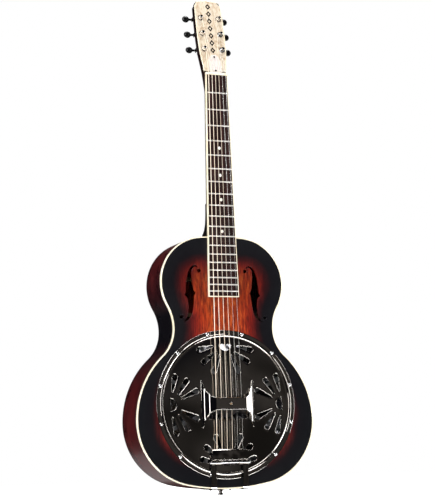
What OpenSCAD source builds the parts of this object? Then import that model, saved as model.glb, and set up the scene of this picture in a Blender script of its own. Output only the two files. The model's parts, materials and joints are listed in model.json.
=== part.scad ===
/* [Body] */
// Half width of the lower bout
lower_bout = 178.6; // [176:0.2:182]
// Half width of the waist
waist = 102.1; // [100:0.1:106]
// Half width of the upper bout
upper_bout = 125; // [124:0.2:128]
// Depth of the body at the tail
tail_depth = 89; // [84:1:95]
// Depth of the body at the neck
neck_depth = 82; // [78:1:84]
// Thickness of the sides
side_t = 3; // [2.6:0.1:3.4]
// Thickness of the top
top_t = 4; // [3.5:0.1:4.5]
// Thickness of the back
back_t = 3; // [2.5:0.1:3.5]
// Width of the binding round the top's edge
binding_w = 2.2; // [1.6:0.1:2.4]

/* [Resonator] */
// Outer radius of the coverplate
plate_r = 140; // [139.5:0.1:141]
// Height of the coverplate's dome above its flange
dome_h = 5; // [4:0.1:5.6]
// Outer radius of the cone
cone_r = 133.5; // [133:0.1:133.8]
// Depth of the cone's seat below the top
seat_depth = 12; // [11:0.5:13]
// Number of legs on the spider
spider_legs = 8; // [6:1:10]
// Height of the palm rest above the top
rest_h = 24; // [21:0.5:26]
// Height of the strings' undersides at the saddle
saddle_h = 13; // [12:0.1:14]

/* [Neck] */
// Scale length
scale_length = 635; // [630:1:640]
// Extra length from the nut to the saddle
compensation = 2; // [0:0.5:3]
// Width of the fretboard at the nut
nut_w = 44.5; // [43:0.5:46]
// Width of the fretboard at the twelfth fret
board_w12 = 57; // [55:0.5:58]
// Number of frets
frets_n = 19; // [17:1:19]
// Thickness of the fretboard
board_t = 6.5; // [6:0.1:7]
// Height of a fret above the fretboard
fret_h = 1.1; // [0.9:0.05:1.3]

/* [Headstock] */
// Angle that the headstock leans back
head_tilt = 12; // [10:0.5:14]
// Length of the headstock on its centre line
head_length = 165; // [162:1:168]
// Thickness of the headstock's wood
head_t = 12.2; // [11.8:0.1:13]
// Distance of the tuner posts from the centre line
post_x = 19; // [18.8:0.1:19.4]
// Distance between one post and the next along the headstock
post_pitch = 34.2; // [33:0.1:35]

/* [Hidden] */
$fn = 48;

// The row's frame: +Z up the strings, -Y out of the face, +X to the treble side. The origin is
// where the strap button's axis meets the tail.
bridge_z = 157.8;
nut_z = bridge_z + scale_length + compensation;
front_y = -tail_depth / 2;

// Body outline, as tangent arcs. Centres are [x, z], and z is counted from the tail.
lower_c = [56.6, bridge_z - 30];
lower_r = lower_bout - lower_c.x;
shoulder_r = 165;
shoulder_c = [lower_bout - shoulder_r, lower_c.y];
waist_z = bridge_z + 144;
upper_r = 89;
upper_c = [upper_bout - upper_r, bridge_z + 230];
body_top = bridge_z + 320;

// Radius of an end arc that meets a bout arc of radius r, whose centre is c off the axis and h
// short of the end.
function end_radius(c, h, r) = (c * c + h * h - r * r) / (2 * (h - r));
// Radius of a waist arc that meets a bout arc of radius r, whose centre is a inside the waist
// line and h along from it.
function waist_radius(a, h, r) = (a * a + h * h - r * r) / (2 * (r - a));

tail_r = end_radius(lower_c.x, lower_c.y, lower_r);
tail_c = [0, tail_r];
top_r = end_radius(upper_c.x, body_top - upper_c.y, upper_r);
top_c = [0, body_top - top_r];
low_waist_r = waist_radius(waist - shoulder_c.x, waist_z - shoulder_c.y, shoulder_r);
low_waist_c = [waist + low_waist_r, waist_z];
high_waist_r = waist_radius(waist - upper_c.x, upper_c.y - waist_z, upper_r);
high_waist_c = [waist + high_waist_r, waist_z];

function bearing(from, to) = atan2(to.y - from.y, to.x - from.x);
function arc(c, r, a0, a1, n) = [
    for (i = [0:n - 1]) let (a = a0 + (a1 - a0) * i / n) c + r * [cos(a), sin(a)]
];
function flip(points) = [for (i = [len(points) - 1:-1:0]) [-points[i].x, points[i].y]];

// The treble half of the outline, moved inward by inset.
function half_outline(inset) = let (
    tail_a = bearing(tail_c, lower_c),
    low_a = bearing(shoulder_c, low_waist_c),
    high_a = bearing(high_waist_c, upper_c),
    top_a = bearing(top_c, upper_c)
) concat(
    arc(tail_c, tail_r - inset, -90, tail_a, 8),
    arc(lower_c, lower_r - inset, tail_a, 0, 26),
    arc(shoulder_c, shoulder_r - inset, 0, low_a, 24),
    arc(low_waist_c, low_waist_r + inset, low_a + 180, 180, 14),
    arc(high_waist_c, high_waist_r + inset, 180, high_a, 10),
    arc(upper_c, upper_r - inset, high_a - 180, top_a, 32),
    arc(top_c, top_r - inset, top_a, 90, 4),
    [[0, body_top - inset]]
);
module outline(inset = 0) {
    right = half_outline(inset);
    polygon(concat(right, flip([for (i = [1:len(right) - 2]) right[i]])));
}

// The face frame: x across, y up the strings, z out of the top's surface.
module face() {
    translate([0, front_y, 0])
        rotate([90, 0, 0])
            children();
}
// The resonator frame: the face frame, centred on the bridge.
module bridge() {
    face()
        translate([0, bridge_z, 0])
            children();
}
// The headstock frame: y up the headstock from the nut, z out of its wooden face.
module head() {
    face()
        translate([0, nut_z, 0])
            rotate([-head_tilt, 0, 0])
                children();
}
module slab(from_h, to_h) {
    translate([0, 0, from_h])
        linear_extrude(to_h - from_h)
            children();
}
// Everything behind the back's outer plane, moved forward by lift.
module behind_back(lift = 0) {
    translate([0, 0, lift - tail_depth])
        rotate([atan((tail_depth - neck_depth) / body_top), 0, 0])
            translate([-250, -60, -60])
                cube([500, 640, 60]);
}

// ---- Body ----
binding_d = 6;
well_in = 134;
well_out = 142;
screw_circle = 136.5;
screw_r = 1.4;
screws_n = 12;
module at_cover_screws() {
    for (i = [0:screws_n - 1])
        rotate(360 / screws_n * (i + 0.5))
            translate([screw_circle, 0, 0])
                children();
}

// One sound hole, on the treble side: a long S with a round eye at each end and a notch midway.
upper_eye = [47, bridge_z + 253.4];
lower_eye = [85.5, bridge_z + 164.7];
eye_r = 3.8;
f_inner = [
    [49.5, 257], [54, 261.4], [58, 260], [61.5, 255], [62.4, 246], [60.6, 230], [58.6, 215],
    [54.4, 211], [57.6, 206], [58, 198], [59.2, 186], [63, 170], [69, 160.5], [77, 155.8]
];
f_outer = [
    [83, 157], [79, 158], [75, 162], [72, 170], [70.2, 184], [71.5, 196], [73.5, 203],
    [78.6, 206], [75, 212], [75, 224], [72.5, 241], [69, 253], [63.5, 260.5], [57, 264.5], [50, 262]
];
// A closed outline with its corners cut, which rounds it.
function rounded(p) = [
    for (i = [0:len(p) - 1]) let (next = p[(i + 1) % len(p)])
        each [0.75 * p[i] + 0.25 * next, 0.25 * p[i] + 0.75 * next]
];
module f_hole() {
    translate([0, bridge_z])
        polygon(rounded(rounded(concat(f_inner, f_outer))));
    translate(upper_eye)
        circle(eye_r);
    translate(lower_eye)
        circle(eye_r);
}

module top_plate() {
    color([0.55, 0.2, 0.08])
    difference() {
        face()
            slab(-top_t, 0)
                difference() {
                    outline(binding_w);
                    f_hole();
                    mirror([1, 0])
                        f_hole();
                }
        bridge()
            translate([0, 0, -top_t - 1])
                cylinder(h = top_t + 2, r = well_in, $fn = 120);
        bridge()
            at_cover_screws()
                translate([0, 0, -top_t - 1])
                    cylinder(h = top_t + 2, r = screw_r);
    }
}
module back_plate() {
    color([0.28, 0.1, 0.07])
    face()
        difference() {
            intersection() {
                slab(-tail_depth - 2, -60)
                    outline();
                behind_back(back_t);
            }
            behind_back();
        }
}
module sides() {
    color([0.2, 0.09, 0.08])
    difference() {
        face()
            difference() {
                slab(-tail_depth, -top_t)
                    outline();
                slab(-tail_depth - 1, -top_t + 1)
                    outline(side_t);
                slab(-binding_d, -top_t + 1)
                    difference() {
                        translate([-200, -10])
                            square([400, body_top + 20]);
                        outline(binding_w);
                    }
                behind_back(back_t);
            }
        tail_screw_holes();
        neck_bolt_holes();
    }
}
module top_binding() {
    color([0.93, 0.9, 0.8])
    face()
        slab(-binding_d, 0)
            difference() {
                outline();
                outline(binding_w);
            }
}
lining_w = 6;
lining_h = 12;
block_w = 64;
tail_block_w = 84;
module neck_block_space() {
    translate([-block_w / 2, body_top - 48, -100])
        cube([block_w, 60, 100]);
}
module tail_block_space() {
    translate([-tail_block_w / 2, 0, -100])
        cube([tail_block_w, 15, 100]);
}
module linings() {
    color([0.72, 0.52, 0.33])
    face()
        difference() {
            slab(-tail_depth, -top_t)
                difference() {
                    outline(side_t);
                    outline(side_t + lining_w);
                }
            translate([-200, -10, -tail_depth + lining_h + back_t + 4])
                cube([400, 520, tail_depth - 2 * lining_h - back_t - top_t - 4]);
            behind_back(back_t);
            neck_block_space();
            tail_block_space();
        }
}
brace_z = bridge_z + 147;
brace_half = 91;
module top_brace() {
    color([0.8, 0.65, 0.42])
    face()
        translate([-brace_half, brace_z, -top_t - 10])
            cube([2 * brace_half, 6, 10]);
}
module back_braces() {
    color([0.8, 0.65, 0.42])
    face()
        difference() {
            for (z = [330, 400])
                translate([-88, z, -tail_depth])
                    cube([176, 8, 18]);
            behind_back(back_t);
        }
}
module neck_block() {
    color([0.5, 0.28, 0.16])
    difference() {
        face()
            difference() {
                intersection() {
                    slab(-tail_depth, -top_t)
                        outline(side_t);
                    neck_block_space();
                }
                behind_back(back_t);
            }
        neck_bolt_holes();
    }
}
module tail_block() {
    color([0.5, 0.28, 0.16])
    difference() {
        face()
            difference() {
                intersection() {
                    slab(-tail_depth, -top_t)
                        outline(side_t);
                    tail_block_space();
                }
                behind_back(back_t);
            }
        tail_screw_holes();
    }
}
module soundwell() {
    color([0.66, 0.47, 0.3])
    bridge()
        difference() {
            translate([0, 0, -tail_depth])
                cylinder(h = tail_depth - top_t, r = well_out, $fn = 120);
            translate([0, 0, -tail_depth - 1])
                cylinder(h = tail_depth + 2, r = well_in, $fn = 120);
            for (i = [0:9])
                rotate(36 * i)
                    translate([well_in - 5, 0, -50])
                        rotate([0, 90, 0])
                            cylinder(h = 20, r = 18);
            translate([0, -bridge_z, 0])
                behind_back(back_t);
            at_cover_screws()
                translate([0, 0, -10])
                    cylinder(h = 12, r = screw_r);
        }
}
module soundwell_ledge() {
    color([0.66, 0.47, 0.3])
    bridge()
        difference() {
            translate([0, 0, -seat_depth - 6])
                cylinder(h = 6, r = well_in, $fn = 120);
            translate([0, 0, -seat_depth - 7])
                cylinder(h = 8, r = well_in - 12, $fn = 120);
        }
}

// ---- Resonator ----
cone_t = 0.8;
cone_line = [
    [121.5, 0], [119.5, -1.4], [80, -21], [74, -23.2], [68, -24], [62, -23.2], [56, -21.2],
    [14, -6.6], [10, -5.8]
];
tension_r = 2;
running = 0.05;
module cone() {
    color([0.8, 0.81, 0.83])
    bridge()
        translate([0, 0, -seat_depth])
            difference() {
                rotate_extrude($fn = 120)
                    polygon(concat(
                        [[cone_r, 0]],
                        cone_line,
                        [[0, -5.8], [0, -5.8 + 2]],
                        [for (i = [len(cone_line) - 1:-1:0]) cone_line[i] + [0, cone_t]],
                        [[cone_r, cone_t]]
                    ));
                translate([0, 0, -8])
                    cylinder(h = 8, r = tension_r + running);
            }
}
hub_half = 33;
hub_top = 3.6;
hub_deep = -8;
spider_foot = 127;
module spider() {
    foot = -seat_depth + cone_t;
    color([0.62, 0.63, 0.65])
    bridge()
        difference() {
            union() {
                for (i = [0:spider_legs - 1])
                    rotate(360 / spider_legs * (i + 0.5))
                        rotate([90, 0, 0])
                            linear_extrude(6, center = true)
                                polygon([
                                    [18, hub_deep + 0.6], [60, hub_deep - 0.5], [112, -9],
                                    [119, foot], [spider_foot + 2, foot],
                                    [spider_foot + 2, -7], [spider_foot - 2, -4],
                                    [112, -3], [60, -0.6], [18, 0.3]
                                ]);
                translate([0, 0, hub_deep])
                    cylinder(h = 8.8, r = 24);
                translate([-hub_half, -6, hub_deep + 1])
                    cube([hub_half * 2, 12, hub_top - hub_deep - 1]);
            }
            for (side = [-1, 1])
                translate([side * saddle_x - saddle_half - 0.1, -saddle_t / 2, saddle_base])
                    cube([2 * saddle_half + 0.2, saddle_t, 20]);
            translate([0, 0, hub_deep - 1])
                cylinder(h = 20, r = tension_r + running);
        }
}
saddle_x = 18;
saddle_half = 13.9;
saddle_t = 3;
saddle_base = -2.5;
module saddles() {
    color([0.82, 0.66, 0.42])
    bridge()
        difference() {
            for (side = [-1, 1])
                translate([side * saddle_x - saddle_half, -saddle_t / 2, saddle_base])
                    cube([2 * saddle_half, saddle_t, saddle_h + 0.5 - saddle_base]);
            for (i = [0:strings_n - 1])
                translate([across(i, saddle_spread) - string_r[i] - 0.1, -5, saddle_h - 0.1])
                    cube([2 * string_r[i] + 0.2, 10, 5]);
        }
}
module tension_screw() {
    color([0.75, 0.75, 0.77])
    bridge()
        difference() {
            union() {
                translate([0, 0, hub_top + running])
                    cylinder(h = 2, r = 3.4);
                translate([0, 0, -seat_depth - 8])
                    cylinder(h = seat_depth + 8 + hub_top + 1, r = tension_r);
            }
            translate([-4, -0.5, hub_top + 1.2])
                cube([8, 1, 3]);
        }
}

// The coverplate is a shallow dome inside a rolled bead and a flat flange.
flange_t = 1;
dome_r = 126;
bead_in = 127.4;
bead_out = 133;
function dome(r) = flange_t + dome_h * (1 - pow(r / dome_r, 2));
module plate_solid(drop) {
    rotate_extrude($fn = 120)
        polygon(concat(
            [[0, -drop]],
            [[dome_r, -drop], [dome_r, dome(dome_r)]],
            [for (r = [120:-10:0]) [r, dome(r)]]
        ));
}
// Teardrop from a narrow end at a to a round end at b, both points on its outline.
function teardrop(a, b, ra, rb) = let (
    turn = bearing(a, b),
    span = norm(b - a) - ra - rb,
    lean = asin((rb - ra) / span),
    ca = a + ra * [cos(turn), sin(turn)],
    cb = b - rb * [cos(turn), sin(turn)]
) concat(
    arc(ca, ra, turn + 90 + lean, turn + 270 - lean, 6),
    arc(cb, rb, turn - 90 - lean, turn + 90 + lean, 10)
);
petals = [
    [[109.3, 23.4], [101.4, 57.3]],
    [[97.9, 18.2], [77.5, 48.7]],
    [[92.5, 11.1], [57, 27.1]]
];
half_moon_x = 113;
half_moon_r = 12;
module plate_windows() {
    for (quarter = [0:3])
        rotate(90 * quarter) {
            for (side = [-1, 1])
                for (p = petals)
                    linear_extrude(20)
                        polygon(teardrop(
                            [p[0].x, side * p[0].y], [p[1].x, side * p[1].y], 1.6, 5.2
                        ));
            linear_extrude(20)
                polygon(concat(
                    arc([half_moon_x, 0], half_moon_r, 90, 270, 16),
                    [[half_moon_x, -half_moon_r]]
                ));
        }
}
opening_w = 76;
opening_low = -28;
opening_high = 12;
module coverplate() {
    color([0.78, 0.79, 0.81])
    bridge()
        difference() {
            rotate_extrude($fn = 120)
                polygon(concat(
                    [for (r = [0:10:120]) [r, dome(r) - flange_t]],
                    [[dome_r, 0], [plate_r, 0], [plate_r, flange_t]],
                    [[bead_out, flange_t]],
                    [for (a = [30:30:150])
                        [(bead_in + bead_out) / 2 + (bead_out - bead_in) / 2 * cos(a),
                         flange_t + 2 * sin(a)]],
                    [[bead_in, flange_t], [dome_r, flange_t]],
                    [for (r = [120:-10:0]) [r, dome(r)]]
                ));
            translate([0, 0, -1])
                plate_windows();
            translate([-opening_w / 2, opening_low, -1])
                cube([opening_w, opening_high - opening_low, 20]);
            at_cover_screws()
                translate([0, 0, -1])
                    cylinder(h = 5, r = screw_r);
        }
}
module coverplate_screws() {
    color([0.8, 0.8, 0.82])
    bridge()
        at_cover_screws()
            difference() {
                union() {
                    translate([0, 0, -10])
                        cylinder(h = 10 + flange_t, r = screw_r);
                    translate([0, 0, flange_t])
                        cylinder(h = 0.7, r = 3);
                    intersection() {
                        translate([0, 0, flange_t + 0.7 - 3.5])
                            sphere(4.6);
                        translate([0, 0, flange_t + 0.7])
                            cylinder(h = 3, r = 3);
                    }
                }
                for (a = [0, 90])
                    rotate(a)
                        translate([-1.7, -0.35, flange_t + 0.9])
                            cube([3.4, 0.7, 3]);
            }
}
rest_half = 34;
rest_w = 11;
rest_foot = 52;
rest_flare = 44;
rest_t = 1.8;
// The strap seen from below: its outer line on one side, from the top down to the foot's end, and
// its inner line back up.
rest_outer = [
    [rest_half - 1, rest_h], [rest_half + 1, rest_h - 0.7], [48, 8], [49.5, 6.8],
    [rest_foot, 6.2], [rest_foot, 2]
];
rest_inner = [
    [46, 2], [46.3, 7], [rest_half - 0.2, rest_h - rest_t - 0.6], [rest_half - 1.6, rest_h - rest_t]
];
// Its plan on one side: narrow over the strings, and flared towards the foot.
rest_neck_x = 26;
function rest_plan() = let (
    rx = rest_foot - 2 - rest_neck_x,
    ry = rest_flare - rest_w,
    upper = concat(
        [for (a = [-90:9:0]) [rest_neck_x + rx * cos(a), rest_flare + ry * sin(a)]],
        [[rest_foot + 1, rest_flare]]
    )
) concat(upper, [for (i = [len(upper) - 1:-1:0]) [upper[i].x, -upper[i].y]]);
module palm_rest() {
    color([0.78, 0.79, 0.81])
    bridge()
        difference() {
            intersection() {
                rotate([90, 0, 0])
                    linear_extrude(100, center = true)
                        polygon(concat(flip(rest_outer), rest_outer, rest_inner, flip(rest_inner)));
                linear_extrude(60)
                    polygon(concat(rest_plan(), flip(rest_plan())));
            }
            plate_solid(5);
            cylinder(h = 40, r = 2.6);
        }
}

// ---- Tail ----
leg_x = 32;
leg_w = 11;
strip_t = 1.6;
bar_low = -105;
bar_high = -84;
bar_h0 = 5.4;
bar_h1 = 12.6;
pin_z = -109;
pin_h = 8.2;
pin_r = 1.5;
knuckle_r = 3;
foot_deep = 54;
// The tail screws: x, and how far behind the top.
tail_screw_spots = [[-leg_x, 14], [leg_x, 14], [-20, 46], [20, 46]];
module tail_strip(extra) {
    // A curved strip that follows the tail's arc.
    translate([0, tail_c.y, -70])
        difference() {
            cylinder(h = 70, r = tail_r + extra, $fn = 720);
            translate([0, 0, -1])
                cylinder(h = 72, r = tail_r, $fn = 720);
        }
}
module at_tail_screws() {
    for (spot = tail_screw_spots)
        face()
            translate([spot.x, 0, -spot.y])
                rotate([-90, 0, 0])
                    children();
}
module tail_screw_holes() {
    at_tail_screws()
        translate([0, 0, -4])
            cylinder(h = 19, r = screw_r);
    translate([0, 0, -4])
        cylinder(h = 22, r = 2.4);
}
module tailpiece_bracket() {
    color([0.78, 0.79, 0.81])
    difference() {
        union() {
            face()
                intersection() {
                    tail_strip(strip_t);
                    union() {
                        for (side = [-1, 1])
                            translate([side * leg_x - leg_w / 2, -10, -foot_deep])
                                cube([leg_w, 20, foot_deep - 1]);
                        translate([-leg_x, -10, -foot_deep])
                            cube([2 * leg_x, 20, 18]);
                    }
                }
            for (side = [-1, 1])
                translate([side * leg_x - leg_w / 2, 0, 0])
                    bridge()
                        rotate([90, 0, 90])
                            linear_extrude(leg_w)
                                polygon([
                                    [pin_z, pin_h - knuckle_r], [pin_z, pin_h - knuckle_r + strip_t],
                                    [-126, 6.2], [-154, 5.2], [-157.2, 4.2], [-158.6, 2.4],
                                    [-158.6, -5], [-157, -5], [-157, 1.9], [-155.8, 3.1],
                                    [-153.5, 3.6], [-126, 4.6]
                                ]);
            bridge()
                for (side = [-1, 1])
                    translate([side * leg_x - leg_w / 2, pin_z, pin_h])
                        rotate([0, 90, 0])
                            cylinder(h = leg_w, r = knuckle_r);
        }
        bridge()
            translate([-60, pin_z, pin_h])
                rotate([0, 90, 0])
                    cylinder(h = 120, r = pin_r + running);
        tail_screw_holes();
    }
}
module tailpiece_bar() {
    color([0.78, 0.79, 0.81])
    bridge()
        difference() {
            union() {
                rotate([90, 0, 90])
                    linear_extrude(73, center = true)
                        polygon([
                            [bar_low, bar_h0 + 1], [bar_low, bar_h1 - 2], [bar_low + 2, bar_h1],
                            [bar_high - 2, bar_h1], [bar_high, bar_h1 - 2], [bar_high, bar_h0]
                        ]);
                for (x = [-leg_x + 10, leg_x - 10]) {
                    translate([x - 4, pin_z, pin_h])
                        rotate([0, 90, 0])
                            cylinder(h = 8, r = knuckle_r);
                    translate([x - 4, pin_z, pin_h - 1.4])
                        cube([8, 6, 2.8]);
                }
            }
            translate([-60, pin_z, pin_h])
                rotate([0, 90, 0])
                    cylinder(h = 120, r = pin_r + running);
            for (i = [0:strings_n - 1])
                translate([across(i, saddle_spread), bar_low - 1, tail_string_h])
                    rotate([-90, 0, 0]) {
                        cylinder(h = 30, r = string_hole_r);
                        cylinder(h = 7, r = ball_r + 0.1);
                    }
        }
}
module tailpiece_pin() {
    color([0.7, 0.71, 0.73])
    bridge() {
        translate([-leg_x - leg_w / 2 - 1, pin_z, pin_h])
            rotate([0, 90, 0])
                cylinder(h = 2 * leg_x + leg_w + 2, r = pin_r);
        for (x = [-leg_x - leg_w / 2 - 2.5, leg_x + leg_w / 2 + 0.5])
            translate([x, pin_z, pin_h])
                rotate([0, 90, 0])
                    cylinder(h = 2, r = 2.3);
    }
}
module tail_screws() {
    color([0.8, 0.8, 0.82])
    difference() {
        for (spot = tail_screw_spots)
            face()
                translate([spot.x, strip_front(spot.x), -spot.y])
                    rotate([-90, 0, 0]) {
                        cylinder(h = 14 - strip_front(spot.x), r = screw_r);
                        intersection() {
                            translate([0, 0, 2.6])
                                sphere(4.4);
                            translate([0, 0, -2.2])
                                cylinder(h = 1.9, r = 3);
                        }
                    }
        at_tail_screws()
            translate([-0.35, -4, -8])
                cube([0.7, 8, 7]);
    }
}
// Height along the strings of the tail strip's outer surface, x off the centre line.
function strip_front(x) = tail_r - sqrt(pow(tail_r + strip_t, 2) - x * x);
module strap_button() {
    color([0.8, 0.8, 0.82])
    rotate([180, 0, 0]) {
        rotate_extrude()
            polygon([
                [0, strip_t], [5.25, strip_t], [5.25, 2.6], [3.7, 4.2], [3.6, 7.2], [4.6, 8.2],
                [5.25, 9], [5.25, 10.2], [4.4, 10.9], [0, 11.1]
            ]);
        translate([0, 0, -14])
            cylinder(h = 14 + strip_t + 1, r = 2.4);
    }
}

// ---- Neck ----
heel_deep = 76;
heel_end = 64;
heel_rx = 52;
heel_ry = 59.5;
bolt_depths = [28, 58];
neck_d_nut = 14.5;
neck_d_body = 17;
board_end = nut_z - 434;
function board_half(z) =
    nut_w / 2 + (board_w12 - nut_w) / 2 * (nut_z - z) / (scale_length / 2);
function fret_z(k) = nut_z - scale_length * (1 - pow(2, -k / 12));
function d_section(w, d) = [
    for (a = [0:7.5:180])
        [w * sign(cos(a)) * pow(abs(cos(a)), 0.82), -d * pow(sin(a), 0.82)]
];
module neck_slice(z, w, d, t = 0.02) {
    face()
        translate([0, z, 0])
            rotate([90, 0, 0])
                linear_extrude(t)
                    polygon(d_section(w, d));
}
// Half width of the headstock, a distance up from the nut.
head_side = [
    [23.2, 0], [23.6, 9], [24.6, 20], [26, 32], [27.3, 44], [28.4, 60], [29, 78], [29.1, 98],
    [28.9, 118], [28.5, 136], [28.1, 150]
];
head_corner = 7;
head_crown_r = 90;
module head_outline(inset = 0, from = 0) {
    crown_c = [0, head_length - head_crown_r];
    corner_c = [28 - head_corner, 151];
    side = [for (p = head_side) if (p.y >= from) p - [inset, 0]];
    right = concat(
        side,
        arc(corner_c, head_corner - inset, 0, bearing(crown_c, corner_c), 5),
        arc(crown_c, head_crown_r - inset, bearing(crown_c, corner_c), 90, 4)
    );
    polygon(concat(right, [[0, head_length - inset]], flip(right)));
}
rod_h = -6.5;
rod_r = 2.5;
rod_nut_z = nut_z + 7;
module rod_pocket() {
    face()
        translate([-4.5, nut_z + 5.2, -11])
            cube([9, 21, 30]);
}
// One flank of the heel's U section.
heel_side = [[26.6, -5], [25.8, -10], [23.5, -18], [19.5, -32], [16, -48], [13.4, -62]];
module heel() {
    // Side view of the heel, cut by its U section.
    intersection() {
        face()
            rotate([90, 0, 90])
                linear_extrude(80, center = true)
                    polygon(concat(
                        [[body_top - 5, -5], [body_top - 5, -heel_deep]],
                        [for (t = [0:10:90])
                            [body_top + heel_end - heel_rx * cos(t), heel_ry * sin(t) - heel_deep]],
                        [[body_top + heel_end, -5]]
                    ));
        face()
            translate([0, body_top + 80, 0])
                rotate([90, 0, 0])
                    linear_extrude(100)
                        polygon(concat(
                            heel_side, arc([0, -heel_deep + 12.4], 12.8, 0, -180, 10), flip(heel_side)
                        ));
    }
}
module neck_bolt_holes() {
    face()
        for (h = bolt_depths)
            translate([0, body_top - 60, -h])
                rotate([-90, 0, 0])
                    cylinder(h = 75, r = 3);
}
module neck() {
    color([0.2, 0.08, 0.06])
    difference() {
        union() {
            hull() {
                neck_slice(nut_z, nut_w / 2, neck_d_nut);
                neck_slice(body_top - 4, board_half(body_top), neck_d_body);
            }
            hull() {
                neck_slice(nut_z - 34, board_half(nut_z - 34), neck_d_nut + 0.3);
                neck_slice(nut_z, nut_w / 2, neck_d_nut);
                head()
                    translate([-24, 26, -head_t])
                        cube([48, 1, head_t]);
            }
            head()
                slab(-head_t, 0)
                    head_outline();
            heel();
        }
        face()
            slab(-tail_depth - 1, 0)
                outline();
        face()
            translate([-3, body_top - 10, rod_h - rod_r - 0.5])
                cube([6, nut_z - body_top + 16, 20]);
        rod_pocket();
        head()
            at_posts() {
                translate([0, 0, -head_t - 1])
                    cylinder(h = 40, r = 3.3);
                translate([0, 0, -6])
                    cylinder(h = 40, r = bushing_r);
            }
        neck_bolt_holes();
        head()
            at_plate_screws()
                translate([0, 0, -head_t - 4])
                    cylinder(h = 12, r = plate_screw_r);
        head()
            at_cover_plate_screws()
                translate([0, 0, -7])
                    cylinder(h = 20, r = 0.9);
    }
}
module neck_bolts() {
    color([0.55, 0.55, 0.57])
    face()
        for (h = bolt_depths)
            translate([0, body_top - 48, -h])
                rotate([-90, 0, 0]) {
                    cylinder(h = 62, r = 3);
                    translate([0, 0, -4.5])
                        cylinder(h = 4.5, r = 6.2, $fn = 6);
                }
}
module truss_rod() {
    color([0.5, 0.5, 0.52])
    face()
        translate([0, body_top + 4, rod_h])
            rotate([-90, 0, 0]) {
                cylinder(h = nut_z - body_top - 2, r = rod_r);
                cylinder(h = rod_nut_z - body_top + 7, r = 1.95);
            }
}
module truss_rod_nut() {
    color([0.6, 0.6, 0.62])
    face()
        translate([0, rod_nut_z, rod_h])
            rotate([-90, 0, 0])
                difference() {
                    cylinder(h = 9, r = 3.6, $fn = 6);
                    translate([0, 0, -1])
                        cylinder(h = 11, r = 1.95 + running);
                }
}
face_t = 1.8;
head_binding_w = 1.6;
nut_t = 5;
cover_side = [
    [12, 5.6], [12.2, 9], [11.6, 14], [10, 20], [8.6, 26], [8, 32], [7.8, 37], [6.4, 41.2], [3.6, 43.6]
];
cover_t = 2;
module at_cover_plate_screws() {
    for (y = [9.5, 39])
        translate([0, y, 0])
            children();
}
module truss_rod_cover() {
    color([0.95, 0.94, 0.9])
    head()
        difference() {
            slab(face_t, face_t + cover_t)
                polygon(concat(cover_side, [[0, 44.4]], flip(cover_side)));
            at_cover_plate_screws()
                cylinder(h = 12, r = 0.9);
        }
}
module truss_cover_screws() {
    color([0.8, 0.8, 0.82])
    head()
        at_cover_plate_screws()
            difference() {
                union() {
                    // The lower screw is short, because the rod's pocket lies under it.
                    translate([0, 0, face_t])
                        cylinder(h = cover_t, r = 0.9);
                    translate([0, 0, face_t + cover_t])
                        cylinder(h = 1, r = 1.9);
                }
                translate([-2.5, -0.25, face_t + cover_t + 0.5])
                    cube([5, 0.5, 2]);
            }
}
board_binding = 1.6;
module board_plan(inset) {
    polygon([
        [-board_half(board_end) + inset, board_end + inset],
        [board_half(board_end) - inset, board_end + inset],
        [board_half(nut_z) - inset, nut_z],
        [-board_half(nut_z) + inset, nut_z]
    ]);
}
dot_frets = [5, 7, 9, 12];
dot_r = 3.1;
dot_t = 1.5;
function dot_z(k) = (fret_z(k) + fret_z(k - 1)) / 2;
tang_w = 0.6;
tang_d = 2;
crown_half = 1.2;
module at_frets() {
    for (k = [1:frets_n])
        translate([0, fret_z(k), board_t])
            children();
}
module fret_slots() {
    at_frets()
        translate([-40, -tang_w / 2, -tang_d])
            cube([80, tang_w, tang_d + 1]);
}
module fretboard() {
    color([0.16, 0.08, 0.05])
    face()
        difference() {
            slab(0, board_t)
                board_plan(board_binding);
            fret_slots();
            for (k = dot_frets)
                translate([0, dot_z(k), board_t - dot_t])
                    cylinder(h = 5, r = dot_r);
        }
}
module fretboard_binding() {
    color([0.93, 0.91, 0.84])
    face()
        difference() {
            slab(0, board_t)
                difference() {
                    board_plan(0);
                    board_plan(board_binding);
                }
            fret_slots();
        }
}
module frets() {
    color([0.8, 0.8, 0.78])
    face()
        for (k = [1:frets_n])
            translate([0, fret_z(k), board_t])
                rotate([0, 90, 0])
                    linear_extrude(2 * board_half(fret_z(k)) - 0.6, center = true)
                        polygon(concat(
                            [for (a = [0:20:180]) [-fret_h * sin(a), crown_half * cos(a)]],
                            [[0, -tang_w / 2], [tang_d, -tang_w / 2],
                             [tang_d, tang_w / 2], [0, tang_w / 2]]
                        ));
}
module position_dots() {
    color([0.92, 0.9, 0.86])
    face()
        for (k = dot_frets)
            translate([0, dot_z(k), board_t - dot_t])
                cylinder(h = dot_t, r = dot_r);
}
nut_slot_h = 8.2;
module nut() {
    color([0.95, 0.93, 0.87])
    difference() {
        nut_bar(nut_w, [
            [0, 0], [0, nut_slot_h + 0.7], [2.4, nut_slot_h + 0.4],
            [nut_t, nut_slot_h - 0.9], [nut_t, 0]
        ]);
        for (i = [0:strings_n - 1])
            translate([across(i, nut_spread), 0, 0])
                nut_bar(2 * string_r[i] + 0.9, [
                    [-1, nut_slot_h - 0.05], [0, nut_slot_h - 0.05], [nut_t + 1, nut_slot_h - 1.95],
                    [nut_t + 1, 20], [-1, 20]
                ]);
    }
}
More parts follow.
